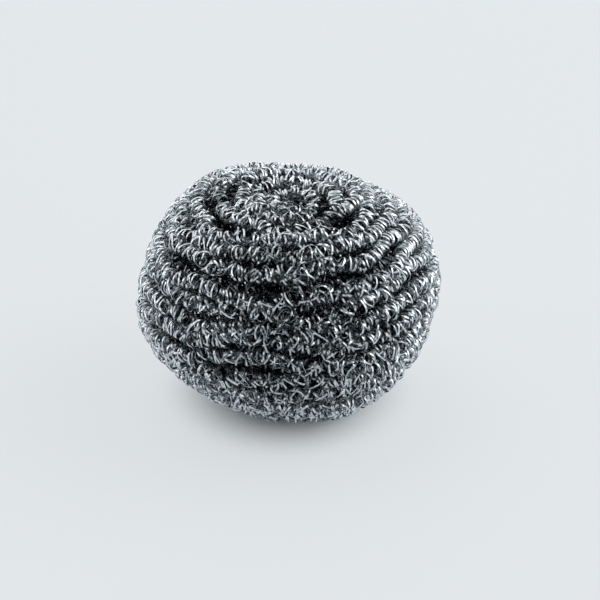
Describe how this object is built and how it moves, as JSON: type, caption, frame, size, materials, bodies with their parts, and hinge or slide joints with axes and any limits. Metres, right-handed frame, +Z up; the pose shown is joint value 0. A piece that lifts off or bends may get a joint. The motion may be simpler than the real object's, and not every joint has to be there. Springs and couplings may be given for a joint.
{
  "type": "spiral scourer",
  "caption": "Bun-shaped ball of one long coiled stainless steel strand wound in rows, with a dimpled crown, for scouring pots and pans.",
  "frame": {"origin": "on the table, under the middle of the ball's box", "axes": "+Z up from the foot to the crown, -Y towards the viewer of the picture, +X to that viewer's right"},
  "size_m": [0.0754, 0.073, 0.0555],
  "materials": {
    "stainless_steel": "bright drawn flat wire, coiled"
  },
  "bodies": {
    "root": {"wound_strand": "stainless_steel"}
  },
  "joints": []
}
